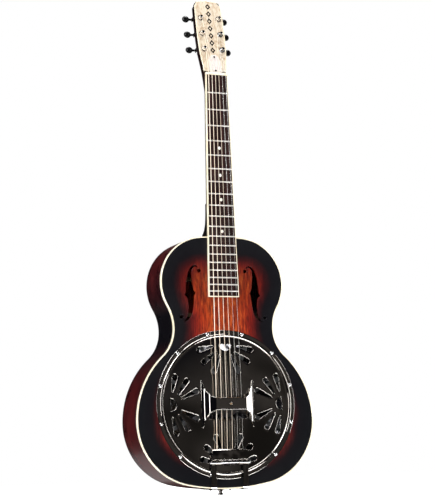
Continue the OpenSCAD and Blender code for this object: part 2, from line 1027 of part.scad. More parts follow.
// A bar across the nut's place, from its outline seen from the side.
module nut_bar(w, side_view) {
    face()
        translate([0, nut_z, 0])
            rotate([90, 0, 90])
                linear_extrude(w, center = true)
                    polygon(side_view);
}
module headstock_face() {
    color([0.92, 0.9, 0.85])
    head_skin()
        difference() {
            head_outline(head_binding_w, 8);
            translate([-40, -5])
                square([80, 14]);
        }
}
module headstock_binding() {
    color([0.96, 0.95, 0.9])
    head_skin()
        difference() {
            head_outline(0, 8);
            difference() {
                head_outline(head_binding_w, 8);
                translate([-40, -5])
                    square([80, 14]);
            }
        }
}
// A skin on the headstock's face, above the nut and round the rod's pocket and the bushings.
module head_skin() {
    difference() {
        head()
            slab(0, face_t)
                children();
        rod_pocket();
        head()
            at_posts()
                translate([0, 0, -1])
                    cylinder(h = 5, r = bushing_r);
        face()
            translate([-40, nut_z - 5, -2])
                cube([80, 5 + nut_t, 20]);
    }
}

// ---- Strings ----
// From the bass side: radius, then the row of posts that it goes to.
string_r = [0.71, 0.533, 0.406, 0.33, 0.229, 0.203];
string_row = [0, 1, 2, 2, 1, 0];
strings_n = 6;
wound_n = 4;
saddle_spread = 52;
nut_spread = 35.6;
tail_string_h = 9.2;
string_hole_r = 1.1;
ball_r = 1.9;
ball_half = 2;
coil_turns = 3;
coil_gap = 0.06;
string_sides = 8;
bushing_top = face_t + 1.5;
function across(i, spread) = spread * (i / (strings_n - 1) - 0.5);
function row_y(k) = 56.5 + post_pitch * k;
function post_side(i) = i < strings_n / 2 ? -1 : 1;
// A point of the headstock frame, in the face frame.
function from_head(p) = [
    p.x,
    nut_z + p.y * cos(head_tilt) + p.z * sin(head_tilt),
    p.z * cos(head_tilt) - p.y * sin(head_tilt)
];
// The turns round a post, which start on its inner side and climb.
function coil_points(i) = let (
    side = post_side(i),
    r = string_r[i],
    ring = post_r + coil_gap + r,
    low = bushing_top + 0.3 + r
) [
    for (a = [0:22.5:360 * coil_turns])
        from_head([
            side * (post_x - ring * cos(a)),
            row_y(string_row[i]) + ring * sin(a),
            low + 2.1 * r * a / 360
        ])
];
function string_points(i) = let (r = string_r[i], x = across(i, saddle_spread)) concat(
    [
        [x, bridge_z + bar_low + 4, tail_string_h],
        [x, bridge_z + bar_high - 3, tail_string_h],
        [x, bridge_z, saddle_h + r],
        [across(i, nut_spread), nut_z, nut_slot_h + r]
    ],
    coil_points(i)
);
function unit(v) = v / norm(v);
// Direction of the route at point k.
function heading(p, k) = unit(p[min(k + 1, len(p) - 1)] - p[max(k - 1, 0)]);
// A tube along the points, with flat ends.
module tube(p, r) {
    n = string_sides;
    rings = [
        for (k = [0:len(p) - 1]) let (
            d = heading(p, k),
            u = unit(cross(d, abs(d.y) > 0.7 ? [0, 0, 1] : [0, 1, 0])),
            v = cross(d, u)
        ) for (j = [0:n - 1]) p[k] + r * (cos(360 * j / n) * u + sin(360 * j / n) * v)
    ];
    last = (len(p) - 1) * n;
    polyhedron(rings, concat(
        [[for (j = [0:n - 1]) j]],
        [for (k = [0:len(p) - 2]) for (j = [0:n - 1])
            [k * n + j, k * n + n + j, k * n + n + (j + 1) % n, k * n + (j + 1) % n]],
        [[for (j = [n - 1:-1:0]) last + j]]
    ));
}
module guitar_string(i) {
    face() {
        tube(string_points(i), string_r[i]);
        translate(string_points(i)[0] - [0, ball_half, 0])
            rotate([-90, 0, 0])
                cylinder(h = 2 * ball_half, r = ball_r);
    }
}
module wound_strings() {
    color([0.72, 0.55, 0.36])
    for (i = [0:wound_n - 1])
        guitar_string(i);
}
module plain_strings() {
    color([0.8, 0.8, 0.8])
    for (i = [wound_n:strings_n - 1])
        guitar_string(i);
}

// ---- Tuners ----
// A worm on the button's shaft turns a wheel on the foot of the post.
wheel_teeth = 14;
post_r = 3;
bushing_r = 4.6;
plate_t = 1.2;
plate_screw_r = 1.1;
wheel_r = 5.25;
wheel_t = 2.4;
tooth_pitch = 2 * PI * wheel_r / wheel_teeth;
worm_pitch_r = 2.6;
worm_core = 1.6;
worm_tip = 3.4;
worm_turns = 3;
shaft_r = 1.5;
worm_y = wheel_r + worm_pitch_r;
worm_z = -head_t - plate_t - worm_tip - 4.2;
tab_x = 6.6;
tab_t = 1.5;
tab_half = 3.6;
button_x = 21.6;
button_r = 7;
// Tuners 1 to 3 run down the treble side from the first string, and 4 to 6 up the bass side.
function tuner_side(i) = i <= 3 ? 1 : -1;
function tuner_row(i) = i <= 3 ? i - 1 : 6 - i;
module at_tuner(i) {
    head()
        translate([tuner_side(i) * post_x, row_y(tuner_row(i)), 0])
            children();
}
module at_posts() {
    for (side = [-1, 1])
        for (k = [0:2])
            translate([side * post_x, row_y(k), 0])
                children();
}
module at_plate_screws() {
    at_posts()
        for (y = [-8.5, 15.5])
            translate([0, y, 0])
                children();
}
module tuner_plates() {
    color([0.12, 0.12, 0.13])
    head()
        at_posts()
            difference() {
                union() {
                    translate([-8.1, -12, -head_t - plate_t])
                        cube([16.2, 31, plate_t]);
                    for (x = [-tab_x - tab_t, tab_x])
                        translate([x, worm_y - tab_half, worm_z - 3])
                            cube([tab_t, 2 * tab_half, -head_t - worm_z + 3]);
                }
                translate([0, 0, -head_t - 5])
                    cylinder(h = 10, r = post_r + running);
                for (y = [-8.5, 15.5])
                    translate([0, y, -head_t - 5])
                        cylinder(h = 10, r = plate_screw_r);
                translate([-20, worm_y, worm_z])
                    rotate([0, 90, 0])
                        cylinder(h = 40, r = shaft_r + running);
            }
}
module tuner_screws() {
    color([0.15, 0.15, 0.16])
    head()
        at_plate_screws()
            difference() {
                union() {
                    translate([0, 0, -head_t - plate_t])
                        cylinder(h = 8, r = plate_screw_r);
                    translate([0, 0, -head_t - plate_t - 1])
                        cylinder(h = 1, r = 2.1);
                }
                translate([-3, -0.25, -head_t - plate_t - 2])
                    cube([6, 0.5, 1.5]);
            }
}
module tuner_bushings() {
    color([0.15, 0.15, 0.16])
    head()
        at_posts()
            difference() {
                union() {
                    translate([0, 0, -6])
                        cylinder(h = 6 + bushing_top, r = bushing_r);
                    translate([0, 0, face_t])
                        cylinder(h = bushing_top - face_t, r = bushing_r + 1);
                }
                translate([0, 0, -7])
                    cylinder(h = 20, r = post_r + running);
            }
}
module tuner_post(i) {
    post_top = bushing_top + 8;
    color([0.16, 0.16, 0.17])
    at_tuner(i)
        difference() {
            union() {
                translate([0, 0, worm_z - wheel_t / 2])
                    cylinder(h = post_top - worm_z + wheel_t / 2 - 0.6, r = post_r);
                translate([0, 0, post_top - 0.6])
                    cylinder(h = 0.6, r1 = post_r, r2 = post_r - 0.6);
                translate([0, 0, worm_z - wheel_t / 2])
                    linear_extrude(wheel_t)
                        wheel_plan();
                translate([0, 0, worm_z - wheel_t / 2 - 1.2])
                    cylinder(h = 2, r = 2.4);
            }
            translate([-5, 0, bushing_top + 6])
                rotate([0, 90, 0])
                    cylinder(h = 10, r = 0.8);
            translate([-4, -0.3, worm_z - wheel_t / 2 - 2])
                cube([8, 0.6, 1.4]);
        }
}
// A tooth points at the worm when the tuner is at rest.
module wheel_plan() {
    circle(wheel_r - 1.1, $fn = 56);
    for (k = [0:wheel_teeth - 1])
        rotate(360 / wheel_teeth * k)
            polygon([
                [-0.5, wheel_r - 1.6], [0.5, wheel_r - 1.6], [0.36, wheel_r], [0.2, wheel_r + 0.7],
                [-0.2, wheel_r + 0.7], [-0.36, wheel_r]
            ]);
}
// The worm's section: a round core with one lobe, which the twist draws out into a thread.
function worm_section() = concat(
    arc([0, 0], worm_core, 60, 300, 6),
    [for (s = [[-60, worm_core], [-25, worm_tip], [0, worm_tip], [25, worm_tip]])
        s[1] * [cos(s[0]), sin(s[0])]]
);
module worm_thread() {
    // The lobe faces away from the wheel at the middle of the worm.
    length = worm_turns * tooth_pitch;
    translate([-length / 2, 0, 0])
        rotate([0, 90, 0])
            linear_extrude(length, twist = -360 * worm_turns, slices = 10 * worm_turns, segments = 1)
                rotate(90 - 180 * worm_turns)
                    polygon(worm_section());
}
module tuner_worm(i) {
    side = tuner_side(i);
    color([0.16, 0.16, 0.17])
    at_tuner(i)
        translate([0, worm_y, worm_z]) {
            worm_thread();
            translate([side > 0 ? -tab_x - tab_t - 0.8 : -button_x - 6, 0, 0])
                rotate([0, 90, 0])
                    cylinder(h = button_x + 6 + tab_x + tab_t + 0.8, r = shaft_r);
        }
}
module tuner_button(i) {
    side = tuner_side(i);
    color([0.03, 0.03, 0.03])
    at_tuner(i)
        translate([0, worm_y, worm_z])
            difference() {
                union() {
                    translate([side * button_x, 0, 0])
                        rotate_extrude()
                            polygon([
                                [0, -3.6], [4.6, -3.4], [6.2, -2.6], [7, -1.2], [button_r, 0],
                                [7, 1.2], [6.2, 2.6], [4.6, 3.4], [0, 3.6]
                            ]);
                    rotate([0, side * 90, 0])
                        translate([0, 0, button_x - 12])
                            cylinder(h = 9, r1 = 2.2, r2 = 3);
                }
                rotate([0, side * 90, 0])
                    cylinder(h = button_x + 6, r = shaft_r);
            }
}

top_plate();
back_plate();
sides();
top_binding();
linings();
top_brace();
back_braces();
neck_block();
tail_block();
soundwell();
soundwell_ledge();
cone();
spider();
saddles();
tension_screw();
coverplate();
coverplate_screws();
palm_rest();
tailpiece_bracket();
tailpiece_bar();
tailpiece_pin();
tail_screws();
strap_button();
neck();
neck_bolts();
truss_rod();
truss_rod_nut();
truss_rod_cover();
truss_cover_screws();
fretboard();
fretboard_binding();
frets();
position_dots();
nut();
headstock_face();
headstock_binding();
wound_strings();
plain_strings();
tuner_plates();
tuner_bushings();
tuner_screws();
tuner_button(1);  // tuner_button_1
tuner_button(2);  // tuner_button_2
tuner_button(3);  // tuner_button_3
tuner_button(4);  // tuner_button_4
tuner_button(5);  // tuner_button_5
tuner_button(6);  // tuner_button_6
tuner_worm(1);  // tuner_worm_1
tuner_worm(2);  // tuner_worm_2
tuner_worm(3);  // tuner_worm_3
tuner_worm(4);  // tuner_worm_4
tuner_worm(5);  // tuner_worm_5
tuner_worm(6);  // tuner_worm_6
tuner_post(1);  // tuner_post_1
tuner_post(2);  // tuner_post_2
tuner_post(3);  // tuner_post_3
tuner_post(4);  // tuner_post_4
tuner_post(5);  // tuner_post_5
tuner_post(6);  // tuner_post_6
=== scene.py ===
"""The looks of a resonator guitar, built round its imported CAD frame. Shapes are in millimetres and
become metres where a vertex is placed. Textures, lights and the camera are in metres."""

import json
import math

import bpy
import numpy as np
from mathutils import Matrix, Vector, geometry


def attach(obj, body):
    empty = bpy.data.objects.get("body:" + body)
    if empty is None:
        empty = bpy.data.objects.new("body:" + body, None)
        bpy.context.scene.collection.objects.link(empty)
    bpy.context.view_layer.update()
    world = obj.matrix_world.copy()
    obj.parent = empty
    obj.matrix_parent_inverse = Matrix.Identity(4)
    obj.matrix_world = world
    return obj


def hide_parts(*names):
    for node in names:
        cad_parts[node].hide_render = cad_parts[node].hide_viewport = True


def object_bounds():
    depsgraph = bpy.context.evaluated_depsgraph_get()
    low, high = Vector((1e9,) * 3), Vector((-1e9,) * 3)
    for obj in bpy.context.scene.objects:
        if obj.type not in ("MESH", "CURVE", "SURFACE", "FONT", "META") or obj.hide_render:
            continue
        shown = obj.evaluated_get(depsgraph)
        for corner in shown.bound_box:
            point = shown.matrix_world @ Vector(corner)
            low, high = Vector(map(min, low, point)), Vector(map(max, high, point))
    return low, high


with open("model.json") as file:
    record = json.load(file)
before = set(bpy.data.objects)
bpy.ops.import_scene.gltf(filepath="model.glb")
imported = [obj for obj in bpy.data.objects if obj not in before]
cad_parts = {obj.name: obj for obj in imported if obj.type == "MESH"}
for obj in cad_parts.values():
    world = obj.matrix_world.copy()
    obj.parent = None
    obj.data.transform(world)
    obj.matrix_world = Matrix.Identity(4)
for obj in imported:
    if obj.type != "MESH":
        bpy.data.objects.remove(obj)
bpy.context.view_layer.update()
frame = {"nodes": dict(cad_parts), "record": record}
nodes = frame["nodes"]
collection = bpy.context.scene.collection

# ---- Dimensions, as in the CAD ----
DEPTH_TAIL = 89.0
DEPTH_NECK = 82.0
FRONT = -DEPTH_TAIL / 2
BRIDGE_Z = 157.8
NUT_Z = 794.8
BODY_TOP = BRIDGE_Z + 320
HEAD_TILT = math.radians(12)
# The outline's bouts and waist.
LOWER_HALF = 178.6
LOWER_R = 122.0
SHOULDER_R = 165.0
LOWER_Z = BRIDGE_Z - 30
UPPER_HALF = 125.0
UPPER_R = 89.0
UPPER_Z = BRIDGE_Z + 230
WAIST_HALF = 102.1
WAIST_Z = BRIDGE_Z + 144
WELL_R = 134.0
TOP_T = 4.0
BACK_T = 3.0
BINDING_W = 2.2
# The coverplate: dome, rolled bead and flange.
PLATE_R = 140.0
DOME_R = 126.0
DOME_H = 5.0
FLANGE_T = 1.0
BEAD_R = 130.2
BEAD_HALF = 2.8
BEAD_H = 2.0
PRESSING_T = 0.95
# The palm rest: its outer face on the treble side as (x, height), and the bend at each corner. It
# slopes down a little earlier than in the CAD, to catch the light as in the photo.
REST_T = 1.8
REST_CORNERS = [(0, 24), (31, 24), (40.8, 18.4), (48.5, 7.3), (53, 6.3)]
REST_BENDS = [0, 1.2, 2.0, 2.6, 0]
REST_HOLE_R = 2.6
REST_NECK_X = 26.0
REST_NECK_HALF = 11.0
REST_FLARE_RUN = 24.0
REST_FLARE_HALF = 44.0
# The tuners.
POST_X = 19.0
POST_LOW = 56.5
POST_PITCH = 34.2
WORM_Y = 7.85
WORM_Z = -21.0
BUTTON_X = 21.6
BUTTON_R = 7.0
BUTTON_HALF = 3.6
# The headstock's face, its inlay, and the truss rod's cover within the CAD's limits for it.
FACE_T = 1.8
INLAY_LOW = 55.0
INLAY_PITCH = 16.1
COVER_T = 2.0
COVER_HALF = 12.2
COVER_LOW = 5.6
COVER_TOP = 44.4
COVER_CROWN = 14.0


def face(x, z, h):
    """A point of the face frame: x across, z up the strings, h out of the top."""
    return Vector((x, FRONT - h, z)) / 1000


def bridge(x, y, h):
    return face(x, BRIDGE_Z + y, h)


def head(x, y, h):
    """A point of the headstock frame: y up from the nut, h out of the wooden face."""
    out = h * math.cos(HEAD_TILT) - y * math.sin(HEAD_TILT)
    along = y * math.cos(HEAD_TILT) + h * math.sin(HEAD_TILT)
    return face(x, NUT_Z + along, out)


# ---- Flat geometry ----
def polar(centre, radius, angle):
    turn = math.radians(angle)
    return (centre[0] + radius * math.cos(turn), centre[1] + radius * math.sin(turn))


def arc(centre, radius, start, end, count):
    """Points of an arc, angles in degrees, without its last point."""
    return [polar(centre, radius, start + (end - start) * i / count) for i in range(count)]


def circle(centre, radius, count):
    return arc(centre, radius, 0, 360, count)


def bearing(a, b):
    return math.degrees(math.atan2(b[1] - a[1], b[0] - a[0]))


def flipped(points):
    return [(-x, y) for x, y in reversed(points)]


def rounded(points, times):
    """A closed outline with its corners cut, the given number of times."""
    for _ in range(times):
        cut = []
        for (ax, ay), (bx, by) in zip(points, points[1:] + points[:1]):
            cut.append((0.75 * ax + 0.25 * bx, 0.75 * ay + 0.25 * by))
            cut.append((0.25 * ax + 0.75 * bx, 0.25 * ay + 0.75 * by))
        points = cut
    return points


def moved(loop, distance):
    """A closed outline moved outward, or inward if distance is negative."""
    p = np.array(loop)
    ahead = np.roll(p, -1, 0) - p
    ahead /= np.linalg.norm(ahead, axis=1)[:, None]
    normal = np.stack([ahead[:, 1], -ahead[:, 0]], 1)
    area = np.sum(p[:, 0] * np.roll(p[:, 1], -1) - np.roll(p[:, 0], -1) * p[:, 1])
    normal *= 1 if area > 0 else -1
    both = normal + np.roll(normal, 1, 0)
    both /= np.maximum(np.sum(both * both, axis=1), 1.0)[:, None] / 2
    return [tuple(q) for q in p + both * distance]


def inside(points, loop):
    """Whether each point lies within a closed outline."""
    x, y = points[:, 0][:, None], points[:, 1][:, None]
    a = np.array(loop)
    b = np.roll(a, -1, 0)
    crosses = (a[:, 1] > y) != (b[:, 1] > y)
    rise = np.where(b[:, 1] == a[:, 1], 1.0, b[:, 1] - a[:, 1])
    at = a[:, 0] + (y - a[:, 1]) / rise * (b[:, 0] - a[:, 0])
    return np.sum(crosses & (x < at), axis=1) % 2 == 1


def distance_to(points, loop):
    """Each point's distance to a closed outline."""
    a = np.array(loop)
    step = np.roll(a, -1, 0) - a
    best = np.full(len(points), 1e9)
    for start, d in zip(a, step):
        t = np.clip((points - start) @ d / (d @ d), 0, 1)
        best = np.minimum(best, np.linalg.norm(points - start - t[:, None] * d, axis=1))
    return best


# ---- Mesh makers ----
def add_mesh(name, points, faces, sharp=35):
    mesh = bpy.data.meshes.new(name)
    mesh.from_pydata(points, [], faces)
    mesh.validate()
    mesh.shade_smooth()
    mesh.set_sharp_from_angle(angle=math.radians(sharp))
    piece = bpy.data.objects.new(name, mesh)
    collection.objects.link(piece)
    return piece


def plate(name, outer, holes, inner, place, thickness, lip=0.0, sharp=35):
    """A sheet of one thickness with holes. Its front edges are rounded by lip, and place(u, v, h)
    puts a point of the plan at height h above the sheet's face."""
    margin = 0.6
    turns = [0, 25, 55, 90] if lip else [90]
    plan, edges, drops = [], [], []
    for loop, way in [(outer, -1)] + [(hole, 1) for hole in holes]:
        for turn in turns:
            ring = moved(loop, way * lip * (1 - math.cos(math.radians(turn))))
            first = len(plan)
            plan += ring
            drops += [lip * (1 - math.sin(math.radians(turn)))] * len(ring)
            edges += [(first + i, first + (i + 1) % len(ring)) for i in range(len(ring))]
    inner = np.array(inner)
    keep = inside(inner, outer)
    clear = distance_to(inner, outer)
    for hole in holes:
        keep &= ~inside(inner, hole)
        clear = np.minimum(clear, distance_to(inner, hole))
    inner = inner[keep & (clear > lip + margin)]
    plan += [tuple(p) for p in inner]
    drops += [0.0] * len(inner)
    made = geometry.delaunay_2d_cdt([Vector(p) for p in plan], edges, [], 0, 1e-6)
    flat = np.array([tuple(p) for p in made[0]])
    drop = [drops[source[0]] if source else 0.0 for source in made[3]]
    triangles = np.array([tuple(f) for f in made[2]])
    middle = flat[triangles].mean(1)
    good = inside(middle, outer)
    for hole in holes:
        good &= ~inside(middle, hole)
    triangles = triangles[good]
    count = len(flat)
    points = [place(u, v, -d) for (u, v), d in zip(flat, drop)]
    points += [place(u, v, -thickness) for u, v in flat]
    faces, used = [], {}
    for a, b, c in triangles.tolist():
        faces.append((a, b, c))
        faces.append((c + count, b + count, a + count))
        for edge in ((a, b), (b, c), (c, a)):
            used[edge] = True
    for a, b in used:
        if (b, a) not in used:
            faces.append((b, a, a + count, b + count))
    return add_mesh(name, points, faces, sharp)


def loft(name, sections, sharp):
    """A closed skin over rings that all have the same number of points."""
    size = len(sections[0])
    points = [p for ring in sections for p in ring]
    faces = []
    for k in range(len(sections) - 1):
        for i in range(size):
            j = (i + 1) % size
            faces.append((k * size + i, k * size + j, (k + 1) * size + j, (k + 1) * size + i))
    faces.append(tuple(reversed(range(size))))
    faces.append(tuple(range((len(sections) - 1) * size, len(sections) * size)))
    return add_mesh(name, points, faces, sharp)


def hex_grid(low, high, step):
    """Points of a triangular grid over the rectangle between two corners."""
    rows = np.arange(low[1], high[1], step * 0.866)
    return [
        (x + (k % 2) * step / 2, y)
        for k, y in enumerate(rows)
        for x in np.arange(low[0], high[0], step)
    ]


# ---- Materials ----
def srgb(*channels):
    """A colour of 0 to 255 values as the linear colour that a shader takes."""
    linear = [((c / 255 + 0.055) / 1.055) ** 2.4 if c > 10 else c / 255 / 12.92 for c in channels]
    return (*linear, 1)


class Tree:
    """A node tree, with one call for each kind of node used here."""

    def __init__(self, owner):
        owner.use_nodes = True
        self.tree = owner.node_tree
        self.tree.nodes.clear()

    def add(self, kind, settings=None, **inputs):
        node = self.tree.nodes.new(kind)
        for key, value in (settings or {}).items():
            setattr(node, key, value)
        for key, value in inputs.items():
            self.put(node.inputs[key.replace("_", " ")], value)
        return node

    def put(self, socket, value):
        if isinstance(value, bpy.types.NodeSocket):
            self.tree.links.new(value, socket)
        else:
            socket.default_value = value

    def noise(self, vector, scale=1.0, detail=3.0, roughness=0.5, distortion=0.0):
        node = self.add(
            "ShaderNodeTexNoise", Vector=vector, Scale=scale, Detail=detail,
            Roughness=roughness, Distortion=distortion,
        )
        return node.outputs[0]

    def cells(self, vector, scale, feature):
        node = self.add("ShaderNodeTexVoronoi", {"feature": feature}, Vector=vector, Scale=scale)
        return node.outputs["Distance"]

    def bands(self, vector, scale, direction):
        node = self.add(
            "ShaderNodeTexWave", {"bands_direction": direction}, Vector=vector, Scale=scale,
        )
        return node.outputs["Fac"]

    def rings(self, vector, scale, direction):
        node = self.add(
            "ShaderNodeTexWave", {"wave_type": "RINGS", "rings_direction": direction},
            Vector=vector, Scale=scale,
        )
        return node.outputs["Fac"]

    def ramp(self, value, stops):
        node = self.add("ShaderNodeValToRGB", Fac=value)
        node.color_ramp.elements.remove(node.color_ramp.elements[1])
        for index, (at, colour) in enumerate(stops):
            element = node.color_ramp.elements[0] if index == 0 else node.color_ramp.elements.new(at)
            element.position = at
            element.color = colour if isinstance(colour, tuple) else (colour, colour, colour, 1)
        return node.outputs[0]

    def mix(self, factor, a, b, blend="MIX"):
        node = self.add("ShaderNodeMix", {"data_type": "RGBA", "blend_type": blend})
        self.put(node.inputs[0], factor)
        self.put(node.inputs[6], a)
        self.put(node.inputs[7], b)
        return node.outputs[2]

    def calc(self, operation, a, b=0.0):
        node = self.add("ShaderNodeMath", {"operation": operation})
        self.put(node.inputs[0], a)
        self.put(node.inputs[1], b)
        return node.outputs[0]

    def span(self, value, low, high, to_low=0.0, to_high=1.0):
        node = self.add(
            "ShaderNodeMapRange", Value=value, From_Min=low, From_Max=high, To_Min=to_low, To_Max=to_high,
        )
        return node.outputs[0]


class Shader(Tree):
    """A material with one surface, and the object's own coordinates for its textures."""

    def __init__(self, name):
        self.material = bpy.data.materials.new(name)
        super().__init__(self.material)
        self.surface = self.add("ShaderNodeBsdfPrincipled")
        self.add("ShaderNodeOutputMaterial", Surface=self.surface.outputs[0])
        self.place = self.add("ShaderNodeTexCoord").outputs["Object"]

    def stretch(self, x, y, z):
        """Object coordinates, stretched: bigger numbers make finer detail."""
        return self.add("ShaderNodeMapping", Vector=self.place, Scale=(x, y, z)).outputs[0]

    def axis(self, name):
        return self.add("ShaderNodeSeparateXYZ", Vector=self.place).outputs[name]

    def attribute(self, name):
        return self.add("ShaderNodeAttribute", {"attribute_name": name}).outputs["Fac"]

    def bump(self, height, distance, strength):
        node = self.add("ShaderNodeBump", Height=height, Distance=distance, Strength=strength)
        return node.outputs[0]

    def finish(self, **values):
        for key, value in values.items():
            self.put(self.surface.inputs[key.replace("_", " ")], value)
        return self.material


def sunburst_top():
    """Gloss sunburst: black at the edge, through deep red, to orange brown with upright flecks."""
    s = Shader("sunburst_top")
    figure = s.noise(s.stretch(150, 150, 14), detail=4, distortion=0.4)
    fleck = s.noise(s.stretch(340, 340, 46), detail=4, roughness=0.65)
    light_fleck = s.noise(s.stretch(270, 270, 36), detail=4, roughness=0.65, distortion=0.2)
    pores = s.noise(s.stretch(1900, 1900, 120), detail=2)
    cloud = s.noise(s.stretch(16, 16, 12), detail=2)
    edge = s.calc("ADD", s.attribute("burst"), s.span(cloud, 0.3, 0.7, -0.004, 0.004))
    wood = s.ramp(s.span(figure, 0.3, 0.7), [
        (0.0, srgb(104, 27, 5)), (0.35, srgb(142, 44, 8)),
        (0.7, srgb(168, 60, 14)), (1.0, srgb(184, 80, 28)),
    ])
    wood = s.mix(s.span(fleck, 0.45, 0.6, 0.0, 0.92), wood, srgb(80, 16, 4))
    wood = s.mix(s.span(light_fleck, 0.53, 0.66, 0.0, 0.75), wood, srgb(208, 102, 42))
    wood = s.mix(s.span(pores, 0.55, 0.75, 0.0, 0.5), wood, srgb(60, 12, 5))
    upper = s.span(s.axis("Z"), 0.28, 0.43, 1.0, 0.4)
    wood = s.mix(1.0, wood, s.ramp(upper, [(0.0, 0.0), (1.0, 1.0)]), "MULTIPLY")
    tint = s.ramp(s.span(edge, 0.0, 0.1), [
        (0.0, srgb(48, 50, 60)), (0.22, srgb(52, 48, 60)), (0.32, srgb(124, 44, 54)),
        (0.46, srgb(205, 110, 110)), (0.64, srgb(250, 215, 195)), (0.8, srgb(255, 255, 255)),
    ])
    shade = s.ramp(s.span(edge, 0.0, 0.1), [
        (0.0, srgb(13, 14, 18)), (0.24, srgb(13, 11, 16)), (0.36, srgb(46, 9, 13)),
        (0.5, srgb(98, 20, 15)), (0.62, srgb(136, 42, 16)), (0.75, srgb(156, 56, 20)),
    ])
    stained = s.mix(1.0, wood, tint, "MULTIPLY")
    depth = s.ramp(s.span(edge, 0.0, 0.1), [(0.2, 0.0), (0.55, 0.8), (0.75, 0.95)])
    colour = s.mix(depth, shade, stained)
    return s.finish(
        Base_Color=colour,
        Roughness=s.span(cloud, 0.3, 0.7, 0.32, 0.44),
        Specular_IOR_Level=0.3,
        Normal=s.bump(pores, 0.00004, 0.4),
        Coat_Weight=0.2, Coat_Roughness=0.14,
    )


def dark_mahogany():
    """Wine red under gloss, with painted shade that darkens it to black at the waist and along the top
    and back edges.
    """
    s = Shader("dark_mahogany")
    figure = s.noise(s.stretch(60, 60, 16), detail=4, distortion=0.5)
    pores = s.noise(s.stretch(1500, 1500, 110), detail=2)
    wood = s.ramp(s.span(figure, 0.3, 0.7), [
        (0.0, srgb(44, 9, 12)), (0.5, srgb(62, 15, 17)), (1.0, srgb(80, 24, 24)),
    ])
    wood = s.mix(s.span(pores, 0.55, 0.75, 0.0, 0.5), wood, srgb(34, 8, 9))
    # Painted shade: the sides go near black at the waist and towards their top and back edges; lit is the
    # share of the wood's own red that is kept.
    waist = 0.305
    from_waist = s.calc("ABSOLUTE", s.calc("SUBTRACT", s.axis("Z"), waist))
    bout = s.span(from_waist, 0.025, 0.12)
    from_middle = s.calc("ABSOLUTE", s.axis("Y"))
    rim = s.span(from_middle, 0.048, 0.024)
    lit = s.calc("MULTIPLY", bout, s.span(rim, 0.0, 1.0, 0.35, 1.0))
    return s.finish(
        Base_Color=s.mix(lit, srgb(13, 11, 15), wood),
        Roughness=s.span(figure, 0.3, 0.7, 0.26, 0.34),
        Specular_IOR_Level=0.3,
        Normal=s.bump(pores, 0.00003, 0.3),
        Coat_Weight=0.25, Coat_Roughness=0.12,
    )


def back_burst():
    """The back's burst, from its distance to the edge."""
    s = Shader("back_burst")
    figure = s.noise(s.stretch(110, 110, 12), detail=4, distortion=0.4)
    fleck = s.noise(s.stretch(600, 600, 45), detail=2)
    wood = s.ramp(s.span(figure, 0.3, 0.7), [
        (0.0, srgb(84, 20, 13)), (0.5, srgb(100, 27, 16)), (1.0, srgb(116, 36, 20)),
    ])
    wood = s.mix(s.span(fleck, 0.55, 0.72, 0.0, 0.55), wood, srgb(52, 12, 8))
    return s.finish(
        Base_Color=s.mix(s.span(s.attribute("burst"), 0.016, 0.07), srgb(15, 13, 17), wood),
        Roughness=s.span(figure, 0.3, 0.7, 0.24, 0.32),
        Normal=s.bump(fleck, 0.00003, 0.3),
        Coat_Weight=0.5, Coat_Roughness=0.1,
    )


def neck_wood():
    s = Shader("neck_wood")
    figure = s.noise(s.stretch(90, 90, 9), detail=4, distortion=0.3)
    pores = s.noise(s.stretch(1500, 1500, 100), detail=2)
    wood = s.ramp(s.span(figure, 0.3, 0.7), [
        (0.0, srgb(13, 8, 9)), (0.5, srgb(21, 10, 11)), (1.0, srgb(32, 14, 14)),
    ])
    return s.finish(
        Base_Color=s.mix(s.span(pores, 0.55, 0.75, 0.0, 0.5), wood, srgb(14, 6, 6)),
        Roughness=s.span(figure, 0.3, 0.7, 0.26, 0.36),
        Normal=s.bump(pores, 0.00003, 0.3),
        Coat_Weight=0.4, Coat_Roughness=0.14,
    )


def raw_wood(name, dark, light, grain):
    s = Shader(name)
    figure = s.noise(s.stretch(*grain), detail=4, distortion=0.3)
    fibre = s.noise(s.stretch(*(9 * g for g in grain)), detail=2)
    colour = s.ramp(s.span(figure, 0.3, 0.7), [(0.0, dark), (1.0, light)])
    return s.finish(
        Base_Color=s.mix(s.span(fibre, 0.5, 0.75, 0.0, 0.4), colour, dark),
        Roughness=s.span(fibre, 0.3, 0.7, 0.55, 0.75),
        Normal=s.bump(fibre, 0.0001, 0.4),
    )


def rosewood():
    """Dark brown with open pores along the board."""
    s = Shader("rosewood")
    figure = s.noise(s.stretch(260, 260, 10), detail=4, distortion=0.6)
    pores = s.noise(s.stretch(2200, 2200, 130), detail=2)
    wood = s.ramp(s.span(figure, 0.3, 0.7), [
        (0.0, srgb(20, 8, 8)), (0.5, srgb(34, 15, 14)), (1.0, srgb(58, 30, 28)),
    ])
    return s.finish(
        Base_Color=s.mix(s.span(pores, 0.54, 0.7, 0.0, 0.8), wood, srgb(14, 6, 6)),
        Roughness=s.span(figure, 0.3, 0.7, 0.42, 0.55),
        Specular_IOR_Level=0.2,
        Normal=s.bump(pores, 0.0001, 0.5),
    )


def plastic(name, low, high, roughness, gloss=0.3):
    """Plastic or bone, with a faint cloud in its colour and fine polishing marks."""
    s = Shader(name)
    cloud = s.noise(s.stretch(45, 45, 30), detail=3)
    marks = s.noise(s.stretch(900, 900, 900), detail=2)
    return s.finish(
        Base_Color=s.ramp(s.span(cloud, 0.3, 0.7), [(0.0, low), (1.0, high)]),
        Roughness=s.span(marks, 0.3, 0.7, roughness * 0.8, roughness * 1.2),
        Normal=s.bump(marks, 0.00001, 0.2),
        Coat_Weight=gloss,
    )


